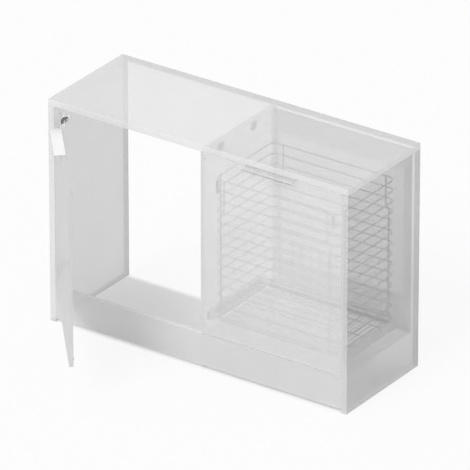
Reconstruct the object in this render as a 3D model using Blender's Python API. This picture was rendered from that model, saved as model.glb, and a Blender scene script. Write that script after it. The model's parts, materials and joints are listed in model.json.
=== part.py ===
"""Laundry cabinet with an open bay behind a hinged door and a pull-out wire basket.

Metres, +Z up, +X to the right and +Y to the back as seen from the front.
The origin is on the floor, under the middle of the divider panel's foot.
The model stands in its rest pose: the door part open and the basket pushed in.
"""
import math

import bmesh
import bpy
from mathutils import Matrix, Vector

# Carcass
cabinet_depth = 0.465
cabinet_height = 0.900
board = 0.025
machine_bay_width = 0.636
basket_bay_width = 0.599
seat_gap = 0.0003
board_round = 0.0008

# Plinth and the shelf under the basket bay
plinth_floor_gap = 0.014
plinth_height = 0.130
bay_floor_board = 0.020
bay_floor_above_plinth = 0.009

# Flat rail under the top, along the front of the basket bay
front_rail_board = 0.018
front_rail_width = 0.071

# Back of the basket bay: two rails, two stiles and a thin sheet behind them
back_rail_board = 0.018
back_sheet_board = 0.003
back_recess = 0.013
back_rail_top_height = 0.078
back_rail_bottom_height = 0.135
back_stile_width = 0.022

# Fronts
front_board = 0.016
front_reveal = 0.003
front_side_reveal = 0.002
front_meeting_gap = 0.003
stop_pad_radius = 0.005
stop_pad_height = 0.0015
stop_pad_inset = 0.030

# Edge pulls on the fronts' top edges
pull_length = 0.220
pull_sheet = 0.0016
pull_reach = 0.029
pull_lip = 0.009
pull_cover = 0.013
pull_screw_radius = 0.0015
pull_screw_head_radius = 0.003
pull_screw_head = 0.0004
pull_screw_length = 0.018
pull_screw_inset = 0.030
door_pull_from_hinge = 0.287

# Door swing: opening angle in the modelled pose
door_rest_angle = math.radians(50.0)

# Concealed hinges
hinge_inset_from_end = 0.072
cup_radius = 0.0175
cup_depth = 0.0115
cup_wall = 0.0010
cup_edge_distance = 0.004
cup_flange_sheet = 0.0010
cup_flange_length = 0.056
cup_flange_margin = 0.0010
cup_fit = 0.0003
plate_length = 0.046
plate_width = 0.018
plate_thickness = 0.0030
plate_wing_length = 0.058
plate_wing_width = 0.014
plate_setback = 0.053
arm_lip = 0.0010
arm_width = 0.0160
arm_cheek = 0.0016
arm_tail = 0.028
link_pivot_from_panel = 0.0091
link_pivot_behind_board = 0.0078
link_length = 0.0188
link_bend = math.radians(20.6)
link_bend_steps = 4
link_thickness = 0.0034
link_knuckle_radius = 0.0025
link_pin_radius = 0.0012
link_tip_gap = 0.0005
link_side_play = 0.0005
hinge_screw_radius = 0.0018
hinge_screw_head_radius = 0.0040
hinge_screw_head = 0.0018
hinge_screw_length = 0.012

# Connector blocks under the top, on the divider
connector_length = 0.024
connector_height = 0.032
connector_depth = 0.012
connector_setback_rear = 0.156

# Basket
basket_side_clearance = 0.0315
basket_behind_front = 0.006
basket_rear_clearance = 0.0377
basket_top_clearance = 0.105
basket_corner_radius = 0.025
basket_corner_steps = 4
corner_tail = 0.004
ring_wire = 0.0040
strut_wire = 0.0050
grid_wire = 0.0030
weld_sink = 0.0004
ring_count = 14
lowest_ring_above_floor = 0.0126
strut_inset_top = 0.045
strut_inset_low = 0.031
strut_jog_below_rim = 0.110
strut_jog_drop = 0.024
side_strut_from_corner = 0.012
upright_count = 5
upright_pitch = 0.0394
upright_first_from_side = 0.0875
upright_ring_gaps = 4
floor_wire_count = 28
cross_wire_count = 3

# Runners, one pair low on the bay's walls
runner_rear_clearance = 0.0606
runner_height = 0.035
runner_thickness = 0.0127
runner_sheet = 0.0012
runner_play = 0.0004
runner_setback = 0.002
runner_above_floor = 0.0415
basket_above_runner_foot = 0.013
rail_sheet = 0.0015
rail_height = 0.013
rail_ledge = 0.026
tie_width = 0.020
tie_drop = 0.012
foot_bracket_sheet = 0.0020
foot_bracket_width = 0.026
foot_bracket_height = 0.045
foot_bracket_length = 0.014

# Clips between the pull-out front and the basket
clip_inset = 0.017
clip_below_rim = 0.028
clip_plate_height = 0.050
clip_plate_sheet = 0.004
clip_nose_width = 0.012
clip_nose_height = 0.030

bevel_profile_share = 0.5
cut_overrun = 0.002
round_sides = 24
wire_bevel_resolution = 1
wire_sides = 4 + 2 * wire_bevel_resolution
merge_distance = 0.00001


for old in list(bpy.data.objects):
    bpy.data.objects.remove(old, do_unlink=True)


def make_material(name, colour, roughness, metallic=0.0, alpha=1.0):
    finish = bpy.data.materials.new(name)
    finish.use_nodes = True
    shader = finish.node_tree.nodes["Principled BSDF"]
    shader.inputs["Base Color"].default_value = (*colour, 1.0)
    shader.inputs["Roughness"].default_value = roughness
    shader.inputs["Metallic"].default_value = metallic
    shader.inputs["Alpha"].default_value = alpha
    finish.diffuse_color = (*colour, alpha)
    return finish


white = (0.80, 0.80, 0.80)
grey = (0.42, 0.42, 0.42)
steel = (0.55, 0.56, 0.58)
dark_steel = (0.10, 0.10, 0.11)
wire_grey = (0.22, 0.22, 0.23)
bright_metal = (0.82, 0.82, 0.83)


def place(name, mesh, colour, roughness=0.45, metallic=0.0, alpha=1.0, parent=None):
    part = bpy.data.objects.new(name, mesh)
    bpy.context.scene.collection.objects.link(part)
    mesh.materials.append(make_material(name + "_finish", colour, roughness, metallic, alpha))
    part.parent = parent
    return part


def mesh_from(bm, name):
    bmesh.ops.recalc_face_normals(bm, faces=bm.faces)
    mesh = bpy.data.meshes.new(name)
    bm.to_mesh(mesh)
    bm.free()
    return mesh


def add_block(bm, low, high):
    low, high = Vector(low), Vector(high)
    size = high - low
    to_place = Matrix.Translation((low + high) / 2) @ Matrix.Diagonal((*size, 1.0))
    return bmesh.ops.create_cube(bm, size=1.0, matrix=to_place)["verts"]


def block(name, low, high, colour, rounding=0.0, **finish):
    """A box from its low corner to its high corner, with its origin at its middle."""
    middle = (Vector(low) + Vector(high)) / 2
    bm = bmesh.new()
    add_block(bm, Vector(low) - middle, Vector(high) - middle)
    if rounding:
        bmesh.ops.bevel(bm, geom=bm.edges[:], offset=rounding, segments=1,
                        profile=bevel_profile_share, affect="EDGES", material=-1)
    part = place(name, mesh_from(bm, name), colour, **finish)
    part.location = middle
    return part


def prism(name, outline, axis, low, high, colour, **finish):
    """A closed outline swept from low to high along axis.

    The outline's points are (Y, Z) for axis X, (X, Z) for axis Y and (X, Y) for axis Z.
    """
    bm = bmesh.new()
    add_prism(bm, outline, axis, low, high)
    return place(name, mesh_from(bm, name), colour, **finish)


def add_prism(bm, outline, axis, low, high):
    position = "XYZ".index(axis)
    corners = []
    for first, second in outline:
        point = [first, second]
        point.insert(position, low)
        corners.append(bm.verts.new(point))
    face = bm.faces.new(corners)
    sweep = bmesh.ops.extrude_face_region(bm, geom=[face])
    shift = Vector((0.0, 0.0, 0.0))
    shift[position] = high - low
    raised = [item for item in sweep["geom"] if isinstance(item, bmesh.types.BMVert)]
    bmesh.ops.translate(bm, verts=raised, vec=shift)


def add_cylinder(bm, radius, base, tip, sides=round_sides):
    base, tip = Vector(base), Vector(tip)
    along = tip - base
    turn = Vector((0.0, 0.0, 1.0)).rotation_difference(along).to_matrix().to_4x4()
    bmesh.ops.create_cone(bm, cap_ends=True, segments=sides, radius1=radius, radius2=radius,
                          depth=along.length, matrix=Matrix.Translation((base + tip) / 2) @ turn)


def guide(name, bm, parent=None):
    """A hidden shape that a Boolean cuts away or joins on."""
    shape = bpy.data.objects.new(name, mesh_from(bm, name))
    bpy.context.scene.collection.objects.link(shape)
    shape.display_type = "WIRE"
    shape.hide_render = True
    shape.parent = parent
    return shape


def boolean(part, shape, operation):
    modifier = part.modifiers.new(shape.name, "BOOLEAN")
    modifier.operation = operation
    modifier.solver = "EXACT"
    modifier.object = shape


def smooth_round(part, limit=math.radians(35.0)):
    part.data.shade_smooth()
    part.data.set_sharp_from_angle(angle=limit)


def empty(name, location, turn=0.0):
    holder = bpy.data.objects.new(name, None)
    bpy.context.scene.collection.objects.link(holder)
    holder.location = location
    holder.rotation_euler = (0.0, 0.0, turn)
    return holder


def welded_distance(first, second):
    """How far apart the middles of two crossing wires lie when their flats are welded."""
    flat_share = math.cos(math.pi / wire_sides)
    return flat_share * (first + second) / 2 - weld_sink


def wires(name, paths, diameter, closed=False):
    """Round wires, a closed tube along each path, with their end caps merged on."""
    curve = bpy.data.curves.new(name, "CURVE")
    curve.dimensions = "3D"
    curve.bevel_depth = diameter / 2
    curve.bevel_resolution = wire_bevel_resolution
    curve.use_fill_caps = not closed
    for path in paths:
        spline = curve.splines.new("POLY")
        spline.points.add(len(path) - 1)
        spline.use_cyclic_u = closed
        for point, spot in zip(spline.points, path):
            point.co = (*spot, 1.0)
    carrier = bpy.data.objects.new(name, curve)
    bpy.context.scene.collection.objects.link(carrier)
    bpy.context.view_layer.update()
    ready = carrier.evaluated_get(bpy.context.evaluated_depsgraph_get())
    bm = bmesh.new()
    bm.from_mesh(ready.to_mesh())
    bmesh.ops.remove_doubles(bm, verts=bm.verts, dist=merge_distance)
    bpy.data.objects.remove(carrier, do_unlink=True)
    bpy.data.curves.remove(curve)
    return bm


def welded(name, layers, parent):
    """A mat of wire layers, each sunk a little into the one it is welded to."""
    mat = place(name, mesh_from(layers[0], name), wire_grey, roughness=0.35, metallic=0.8, parent=parent)
    for number, layer in enumerate(layers[1:], start=1):
        boolean(mat, guide(f"{name}_layer_{number}", layer, parent), "UNION")


# Places worked out from the sizes
divider_left = -board / 2
divider_right = board / 2
machine_bay_left = divider_left - machine_bay_width
cabinet_left = machine_bay_left - board
basket_bay_right = divider_right + basket_bay_width
cabinet_right = basket_bay_right + board
front_y = -cabinet_depth / 2
rear_y = cabinet_depth / 2
under_top = cabinet_height - board
divider_front = front_y + front_board + stop_pad_height + 2 * seat_gap
plinth_top = plinth_floor_gap + plinth_height
front_low = plinth_top + front_reveal
front_high = under_top - front_reveal
front_back_y = front_y + front_board
bay_floor_top = plinth_top + bay_floor_above_plinth
back_sheet_rear = rear_y - back_recess
back_sheet_front = back_sheet_rear - back_sheet_board
back_rail_rear = back_sheet_front - seat_gap
back_rail_front = back_rail_rear - back_rail_board
front_rail_rear = divider_front + front_rail_width


def build_carcass():
    boards = dict(colour=white, rounding=board_round, alpha=0.75)
    block("top_panel", (cabinet_left, front_y, under_top + seat_gap),
          (cabinet_right, rear_y, cabinet_height), **boards)
    block("side_panel_left", (cabinet_left, front_y, 0.0),
          (machine_bay_left, rear_y, under_top), **boards)
    block("side_panel_right", (basket_bay_right, front_y, 0.0),
          (cabinet_right, rear_y, under_top), **boards)
    block("divider_panel", (divider_left, divider_front, 0.0),
          (divider_right, rear_y, under_top), **boards)
    block("plinth_board", (machine_bay_left + seat_gap, front_y, plinth_floor_gap),
          (basket_bay_right - seat_gap, divider_front - seat_gap, plinth_top), **boards)
    block("bay_floor",
          (divider_right + seat_gap, divider_front, bay_floor_top - bay_floor_board),
          (basket_bay_right - seat_gap, back_rail_rear, bay_floor_top), **boards)
    block("front_rail",
          (divider_right + seat_gap, divider_front, under_top - seat_gap - front_rail_board),
          (basket_bay_right - seat_gap, front_rail_rear, under_top - seat_gap), **boards)


def build_back():
    boards = dict(colour=white, rounding=board_round, alpha=0.75)
    left = divider_right + seat_gap
    right = basket_bay_right - seat_gap
    rail_low = bay_floor_top + seat_gap
    rail_high = under_top - seat_gap
    stile_low = rail_low + back_rail_bottom_height + seat_gap
    stile_high = rail_high - back_rail_top_height - seat_gap
    block("back_rail_top", (left, back_rail_front, rail_high - back_rail_top_height),
          (right, back_rail_rear, rail_high), **boards)
    block("back_rail_bottom", (left, back_rail_front, rail_low),
          (right, back_rail_rear, rail_low + back_rail_bottom_height), **boards)
    block("back_stile_left", (left, back_rail_front, stile_low),
          (left + back_stile_width, back_rail_rear, stile_high), **boards)
    block("back_stile_right", (right - back_stile_width, back_rail_front, stile_low),
          (right, back_rail_rear, stile_high), **boards)
    block("back_sheet", (left, back_sheet_front, bay_floor_top - bay_floor_board),
          (right, back_sheet_rear, rail_high), colour=grey, alpha=0.75)


def build_connectors():
    high = under_top - seat_gap
    for place_name, y in (("front", front_rail_rear + seat_gap + connector_length / 2),
                          ("rear", rear_y - connector_setback_rear)):
        low_x = divider_right + seat_gap
        outline = [
            (low_x, high),
            (low_x, high - connector_height),
            (low_x + connector_depth / 2, high - connector_height),
            (low_x + connector_depth, high - connector_height / 2),
            (low_x + connector_depth, high),
        ]
        prism(f"connector_block_{place_name}", outline, "Y", y - connector_length / 2,
              y + connector_length / 2, colour=dark_steel)


def pull_outline():
    """Section of an edge pull across the front: Y from the front's face, Z from its top edge."""
    under = seat_gap
    over = seat_gap + pull_sheet
    return [
        (pull_cover, under),
        (pull_cover, over),
        (-pull_reach, over),
        (-pull_reach, over - pull_lip),
        (-pull_reach + pull_sheet, over - pull_lip),
        (-pull_reach + pull_sheet, under),
    ]


def build_pull(prefix, centre_x, top_z, parent):
    """An edge pull and its two screws, in its parent's space, where Y is 0 on the face."""
    section = [(y, top_z + z) for y, z in pull_outline()]
    low_x = centre_x - pull_length / 2
    high_x = centre_x + pull_length / 2
    handle = prism(f"{prefix}_handle", section, "X", low_x, high_x, colour=bright_metal,
                   roughness=0.35, metallic=1.0, parent=parent)
    screw_y = front_board / 2
    for side, x in (("left", low_x + pull_screw_inset), ("right", high_x - pull_screw_inset)):
        drill = bmesh.new()
        add_cylinder(drill, pull_screw_radius + seat_gap, (x, screw_y, top_z - cut_overrun),
                     (x, screw_y, top_z + seat_gap + pull_sheet + cut_overrun), sides=12)
        boolean(handle, guide(f"{prefix}_pull_hole_{side}", drill, parent), "DIFFERENCE")
        bm = bmesh.new()
        head_low = top_z + seat_gap + pull_sheet + seat_gap
        add_cylinder(bm, pull_screw_radius, (x, screw_y, top_z - pull_screw_length),
                     (x, screw_y, head_low + pull_screw_head / 2), sides=12)
        screw = place(f"{prefix}_handle_screw_{side}", mesh_from(bm, "screw"), steel,
                      roughness=0.3, metallic=1.0, parent=parent)
        bm = bmesh.new()
        add_cylinder(bm, pull_screw_head_radius, (x, screw_y, head_low),
                     (x, screw_y, head_low + pull_screw_head), sides=12)
        boolean(screw, guide(f"{prefix}_screw_head_{side}", bm, parent), "UNION")
        smooth_round(screw)
    return [(x, screw_y) for x in (low_x + pull_screw_inset, high_x - pull_screw_inset)]


def drill_pull_screws(front, prefix, spots, top_z, parent):
    for number, (x, y) in enumerate(spots):
        drill = bmesh.new()
        add_cylinder(drill, pull_screw_radius + seat_gap,
                     (x, y, top_z - pull_screw_length - seat_gap),
                     (x, y, top_z + cut_overrun), sides=12)
        boolean(front, guide(f"{prefix}_front_hole_{number}", drill, parent), "DIFFERENCE")


def hinge_heights():
    return (("upper", front_high - hinge_inset_from_end), ("lower", front_low + hinge_inset_from_end))


door_left = machine_bay_left + front_side_reveal
fronts_meet = (divider_left + divider_right) / 2
door_width = fronts_meet - front_meeting_gap / 2 - door_left
front_overlap = fronts_meet - front_meeting_gap / 2 - divider_left
cup_centre = cup_edge_distance + cup_radius
link_pivot = Vector((machine_bay_left + link_pivot_from_panel, front_back_y + link_pivot_behind_board))


def build_door():
    """The door in its own space: X from the hinge edge, Y from the face to the back."""
    axis = empty("door_axis", (door_left, front_y, 0.0), -door_rest_angle)
    door = block("door_panel", (0.0, 0.0, front_low), (door_width, front_board, front_high),
                 colour=white, rounding=board_round, alpha=0.75, parent=axis)
    spots = build_pull("door", door_pull_from_hinge, front_high, axis)
    drill_pull_screws(door, "door", spots, front_high, axis)
    for place_name, z in hinge_heights():
        build_cup(place_name, z, door, axis)
    build_stop_pads("door", door_width - front_overlap / 2, axis)


def build_stop_pads(prefix, x, parent):
    """Two soft pads that meet the divider's front edge, in a space where Y is 0 on the face."""
    for place_name, z in (("upper", front_high - stop_pad_inset), ("lower", front_low + stop_pad_inset)):
        bm = bmesh.new()
        seat = front_board + seat_gap
        add_cylinder(bm, stop_pad_radius, (x, seat, z), (x, seat + stop_pad_height, z), sides=16)
        pad = place(f"{prefix}_stop_pad_{place_name}", mesh_from(bm, "pad"), grey, parent=parent)
        smooth_round(pad)


def build_cup(place_name, z, door, axis):
    back = front_board
    drill = bmesh.new()
    add_cylinder(drill, cup_radius + cup_fit, (cup_centre, back - cup_depth - cup_fit, z),
                 (cup_centre, back + cut_overrun, z))
    boolean(door, guide(f"cup_hole_{place_name}", drill, axis), "DIFFERENCE")
    bm = bmesh.new()
    flange_low = back + seat_gap
    half = cup_radius + cup_flange_margin
    add_block(bm, (cup_centre - half, flange_low, z - cup_flange_length / 2),
              (cup_centre + half, flange_low + cup_flange_sheet, z + cup_flange_length / 2))
    cup = place(f"hinge_cup_{place_name}", mesh_from(bm, "cup"), dark_steel, roughness=0.3,
                metallic=0.9, parent=axis)
    body = bmesh.new()
    add_cylinder(body, cup_radius, (cup_centre, back - cup_depth, z),
                 (cup_centre, flange_low + cup_flange_sheet / 2, z))
    boolean(cup, guide(f"cup_body_{place_name}", body, axis), "UNION")
    hollow = bmesh.new()
    add_cylinder(hollow, cup_radius - cup_wall, (cup_centre, back - cup_depth + cup_wall, z),
                 (cup_centre, back + cut_overrun, z))
    boolean(cup, guide(f"cup_hollow_{place_name}", hollow, axis), "DIFFERENCE")
    smooth_round(cup)


def build_hinge_arms():
    """Mounting plates, arms and plate screws on the left side panel."""
    panel_x = machine_bay_left
    plate_y = front_y + plate_setback
    pivot_x, pivot_y = link_pivot
    for place_name, z in hinge_heights():
        low_x = panel_x + seat_gap
        high_x = low_x + plate_thickness
        plate = block(f"hinge_plate_{place_name}",
                      (low_x, plate_y - plate_width / 2, z - plate_wing_length / 2),
                      (high_x, plate_y + plate_width / 2, z + plate_wing_length / 2),
                      colour=steel, roughness=0.25, metallic=1.0)
        bm = bmesh.new()
        add_block(bm, (low_x, plate_y - plate_wing_width / 2, z - plate_width / 2),
                  (high_x, plate_y - plate_wing_width / 2 + plate_length, z + plate_width / 2))
        boolean(plate, guide(f"plate_body_{place_name}", bm), "UNION")
        build_plate_screws(place_name, plate, plate_y, z)

        arm_low = high_x + seat_gap
        arm_high = pivot_x + link_knuckle_radius + arm_lip
        arm_rear = plate_y - plate_wing_width / 2 + arm_tail
        arm = block(f"hinge_arm_{place_name}",
                    (arm_low, pivot_y - link_knuckle_radius, z - arm_width / 2),
                    (arm_high, arm_rear, z + arm_width / 2),
                    colour=steel, roughness=0.2, metallic=1.0)
        inside = bmesh.new()
        half_inside = arm_width / 2 - arm_cheek
        add_block(inside, (arm_low - cut_overrun, front_y, z - half_inside),
                  (arm_high - arm_cheek, arm_rear - arm_cheek, z + half_inside))
        boolean(arm, guide(f"arm_hollow_{place_name}", inside), "DIFFERENCE")
        mouth = bmesh.new()
        add_block(mouth, (pivot_x - link_knuckle_radius, front_y, z - half_inside),
                  (arm_high + cut_overrun, pivot_y + link_knuckle_radius + seat_gap, z + half_inside))
        boolean(arm, guide(f"arm_mouth_{place_name}", mouth), "DIFFERENCE")
        build_link_pin(place_name, arm, pivot_x, pivot_y, z)


def build_link_pin(place_name, arm, x, y, z):
    """The pin through the arm's cheeks that the link turns on."""
    half = arm_width / 2
    drill = bmesh.new()
    add_cylinder(drill, link_pin_radius + seat_gap, (x, y, z - half - cut_overrun),
                 (x, y, z + half + cut_overrun), sides=12)
    boolean(arm, guide(f"arm_pin_hole_{place_name}", drill), "DIFFERENCE")
    bm = bmesh.new()
    add_cylinder(bm, link_pin_radius, (x, y, z - half), (x, y, z + half), sides=12)
    pin = place(f"hinge_pin_{place_name}", mesh_from(bm, "pin"), steel, roughness=0.25, metallic=1.0)
    smooth_round(pin)


def build_plate_screws(place_name, plate, plate_y, z):
    seat_x = machine_bay_left + seat_gap + plate_thickness + seat_gap
    reach = plate_wing_length / 2 - hinge_screw_head_radius - board_round
    for end, screw_z in (("top", z + reach), ("bottom", z - reach)):
        drill = bmesh.new()
        add_cylinder(drill, hinge_screw_radius + seat_gap,
                     (machine_bay_left - cut_overrun, plate_y, screw_z),
                     (seat_x + cut_overrun, plate_y, screw_z), sides=12)
        boolean(plate, guide(f"plate_hole_{place_name}_{end}", drill), "DIFFERENCE")
        bm = bmesh.new()
        add_cylinder(bm, hinge_screw_radius, (machine_bay_left - hinge_screw_length, plate_y, screw_z),
                     (seat_x + hinge_screw_head / 2, plate_y, screw_z), sides=12)
        screw = place(f"hinge_screw_{place_name}_{end}", mesh_from(bm, "screw"), steel,
                      roughness=0.25, metallic=1.0)
        bm = bmesh.new()
        add_cylinder(bm, hinge_screw_head_radius, (seat_x, plate_y, screw_z),
                     (seat_x + hinge_screw_head, plate_y, screw_z), sides=12)
        boolean(screw, guide(f"plate_screw_head_{place_name}_{end}", bm), "UNION")
        smooth_round(screw)
        panel = bpy.data.objects["side_panel_left"]
        drill = bmesh.new()
        add_cylinder(drill, hinge_screw_radius + seat_gap,
                     (machine_bay_left - hinge_screw_length - seat_gap, plate_y, screw_z),
                     (machine_bay_left + cut_overrun, plate_y, screw_z), sides=12)
        boolean(panel, guide(f"panel_hole_{place_name}_{end}", drill), "DIFFERENCE")


def link_rest_heading():
    """The heading at which the link's near corner stands link_tip_gap off the cup's flange."""
    toward_front = Vector((-math.sin(door_rest_angle), -math.cos(door_rest_angle)))
    flange_depth = front_board + seat_gap + cup_flange_sheet
    room = -toward_front.dot(link_pivot - Vector((door_left, front_y))) - flange_depth
    corner = Vector(link_side(-link_thickness / 2)[-1])
    off_square = math.acos((room - link_tip_gap) / corner.length)
    return math.atan2(toward_front.y, toward_front.x) + off_square - math.atan2(corner.y, corner.x)


def link_side(offset):
    """Points along one side of the link's bent bar, from its knuckle to its tip."""
    bend_radius = link_length / link_bend
    points = []
    for step in range(1, link_bend_steps + 1):
        heading = link_bend * step / link_bend_steps
        points.append((bend_radius * math.sin(heading) - offset * math.sin(heading),
                       bend_radius * (1 - math.cos(heading)) + offset * math.cos(heading)))
    return points


def build_hinge_links():
    """One link per hinge, turning on the arm's tip and reaching to the cup."""
    half_width = arm_width / 2 - arm_cheek - link_side_play
    half = link_thickness / 2
    bar_meets_knuckle = math.asin(half / link_knuckle_radius)
    knuckle_steps = 8
    knuckle_sweep = (2 * math.pi - 2 * bar_meets_knuckle) / knuckle_steps
    outline = link_side(-half) + link_side(half)[::-1]
    for step in range(knuckle_steps + 1):
        angle = bar_meets_knuckle + step * knuckle_sweep
        outline.append((link_knuckle_radius * math.cos(angle), link_knuckle_radius * math.sin(angle)))
    for place_name, z in hinge_heights():
        holder = empty(f"hinge_link_axis_{place_name}", (*link_pivot, 0.0), link_rest_heading())
        link = prism(f"hinge_link_{place_name}", outline, "Z", z - half_width, z + half_width,
                     colour=dark_steel, roughness=0.3, metallic=0.9, parent=holder)
        drill = bmesh.new()
        add_cylinder(drill, link_pin_radius + seat_gap, (0.0, 0.0, z - half_width - cut_overrun),
                     (0.0, 0.0, z + half_width + cut_overrun), sides=12)
        boolean(link, guide(f"link_pin_hole_{place_name}", drill, holder), "DIFFERENCE")


runner_foot = bay_floor_top + runner_above_floor
basket_foot = runner_foot + basket_above_runner_foot
rim_height = under_top - basket_top_clearance
lowest_ring = basket_foot + lowest_ring_above_floor
ring_pitch = (rim_height - lowest_ring) / (ring_count - 1)
basket_middle = divider_right + basket_bay_width / 2
basket_half_width = basket_bay_width / 2 - basket_side_clearance
ring_inset = ring_wire / 2
basket_left = basket_middle - basket_half_width + ring_inset
basket_right = basket_middle + basket_half_width - ring_inset
basket_front = front_back_y + basket_behind_front + ring_inset
basket_rear = back_rail_front - basket_rear_clearance - ring_inset
ring_left_x = basket_left + basket_corner_radius
ring_right_x = basket_right - basket_corner_radius
wall_foot = basket_foot + strut_wire / 2 + seat_gap


def corner_points(centre, start, end, z):
    """Points round one rounded corner of a ring, from one angle to the other in quarter turns."""
    points = []
    for step in range(basket_corner_steps + 1):
        angle = math.radians(start + (end - start) * step / basket_corner_steps)
        points.append((centre[0] + basket_corner_radius * math.cos(angle),
                       centre[1] + basket_corner_radius * math.sin(angle), z))
    return points


def rear_wire(z):
    y = basket_rear - basket_corner_radius
    return corner_points((ring_right_x, y), 0, 90, z) + corner_points((ring_left_x, y), 90, 180, z)


def front_wire(z):
    y = basket_front + basket_corner_radius
    return corner_points((ring_left_x, y), 180, 270, z) + corner_points((ring_right_x, y), 270, 360, z)


def with_tails(path, toward_y):
    """A wall's wire with a short straight end beyond each corner, square to the side wires."""
    tail = Vector((0.0, toward_y * corner_tail, 0.0))
    return [tuple(Vector(path[0]) + tail), *path, tuple(Vector(path[-1]) + tail)]


def side_wire(x, z):
    clear = basket_corner_radius + corner_tail + seat_gap
    return [(x, basket_front + clear, z), (x, basket_rear - clear, z)]


def strut_path(side, y):
    """A strut that steps outwards part of the way down; side is -1 on the left, 1 on the right."""
    top_x = basket_middle + side * (basket_half_width - strut_inset_top)
    low_x = basket_middle + side * (basket_half_width - strut_inset_low)
    jog_top = rim_height - strut_jog_below_rim
    return [(top_x, y, rim_height), (top_x, y, jog_top),
            (low_x, y, jog_top - strut_jog_drop), (low_x, y, wall_foot)]


def build_basket(pullout):
    heights = [rim_height - number * ring_pitch for number in range(ring_count)]
    strut_offset = welded_distance(ring_wire, strut_wire)
    upright_offset = welded_distance(ring_wire, grid_wire)
    rear_struts = [strut_path(side, basket_rear + strut_offset) for side in (-1, 1)]
    first_x = basket_left + upright_first_from_side
    upright_top = heights[-1] + upright_ring_gaps * ring_pitch
    uprights = [[(first_x + number * upright_pitch, basket_rear + upright_offset, upright_top),
                 (first_x + number * upright_pitch, basket_rear + upright_offset, wall_foot)]
                for number in range(upright_count)]
    rear_rings = [with_tails(rear_wire(z), -1) for z in heights]
    welded("basket_back", [wires("back_rings", rear_rings, ring_wire),
                           wires("back_struts", rear_struts, strut_wire),
                           wires("back_uprights", uprights, grid_wire)], pullout)

    front_struts = [strut_path(side, basket_front - strut_offset) for side in (-1, 1)]
    front_rings = [with_tails(front_wire(z), 1) for z in heights]
    welded("basket_front", [wires("front_rings", front_rings, ring_wire),
                            wires("front_struts", front_struts, strut_wire)], pullout)

    for name, x, outward in (("left", basket_left, -1), ("right", basket_right, 1)):
        strut_x = x + outward * strut_offset
        strut_y = basket_front + basket_corner_radius + corner_tail + side_strut_from_corner
        strut = [(strut_x, strut_y, rim_height), (strut_x, strut_y, wall_foot)]
        welded(f"basket_side_{name}", [wires("side_rings", [side_wire(x, z) for z in heights], ring_wire),
                                       wires("side_strut", [strut], strut_wire)], pullout)


def build_basket_floor(pullout):
    z = basket_foot
    loop = rear_wire(z) + front_wire(z)
    step_y = (basket_rear - basket_front) / (cross_wire_count + 1)
    crosses = [[(basket_left, basket_front + number * step_y, z),
                (basket_right, basket_front + number * step_y, z)]
               for number in range(1, cross_wire_count + 1)]
    floor_z = z + welded_distance(strut_wire, grid_wire)
    span = basket_right - basket_left - basket_corner_radius
    step_x = span / (floor_wire_count - 1)
    start_x = basket_middle - span / 2
    runs = []
    for number in range(floor_wire_count):
        x = start_x + number * step_x
        beyond = max(0.0, abs(x - basket_middle) - (basket_right - basket_corner_radius - basket_middle))
        inset = basket_corner_radius - math.sqrt(basket_corner_radius ** 2 - beyond ** 2)
        runs.append([(x, basket_front + inset, floor_z), (x, basket_rear - inset, floor_z)])
    welded("basket_floor", [wires("floor_loop", [loop], strut_wire, closed=True),
                            wires("floor_crosses", crosses, strut_wire),
                            wires("floor_runs", runs, grid_wire)], pullout)


runner_middle_z = runner_foot + runner_height / 2


def channel(wall_x, inward, back_from_wall, front_from_wall, height):
    """Section of a runner member in X and Z: a web with two flanges.

    inward is 1 where the bay lies to the right of the wall and -1 where it lies to the left.
    The web is at back_from_wall and the flanges end at front_from_wall.
    """
    web = back_from_wall
    tip = front_from_wall
    toward_tip = 1 if tip > web else -1
    web_inner = web + toward_tip * runner_sheet
    low = runner_middle_z - height / 2
    high = runner_middle_z + height / 2
    section = [(web, low), (tip, low), (tip, low + runner_sheet), (web_inner, low + runner_sheet),
               (web_inner, high - runner_sheet), (tip, high - runner_sheet), (tip, high), (web, high)]
    return [(wall_x + inward * distance, z) for distance, z in section]


def build_runners(middle, pullout):
    start_y = divider_front + runner_setback
    end_y = back_rail_front - runner_rear_clearance
    nest = 2 * (runner_sheet + runner_play)
    for name, wall_x, inward in (("left", divider_right, 1), ("right", basket_bay_right, -1)):
        outer_web = seat_gap
        outer_tip = runner_thickness - runner_sheet - runner_play
        prism(f"runner_outer_{name}", channel(wall_x, inward, outer_web, outer_tip, runner_height),
              "Y", start_y, end_y, colour=dark_steel, roughness=0.35, metallic=0.9)
        middle_web = outer_web + runner_sheet + runner_play
        middle_tip = outer_tip
        prism(f"runner_middle_{name}",
              channel(wall_x, inward, middle_web, middle_tip, runner_height - nest),
              "Y", start_y, end_y, colour=dark_steel, roughness=0.35, metallic=0.9, parent=middle)
        inner_tip = middle_web + runner_sheet + runner_play
        prism(f"runner_inner_{name}",
              channel(wall_x, inward, runner_thickness, inner_tip, runner_height - 2 * nest),
              "Y", start_y, end_y, colour=dark_steel, roughness=0.35, metallic=0.9, parent=pullout)
        build_base_rail(name, wall_x, inward, end_y, pullout)
    build_base_tie(end_y, pullout)


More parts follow.
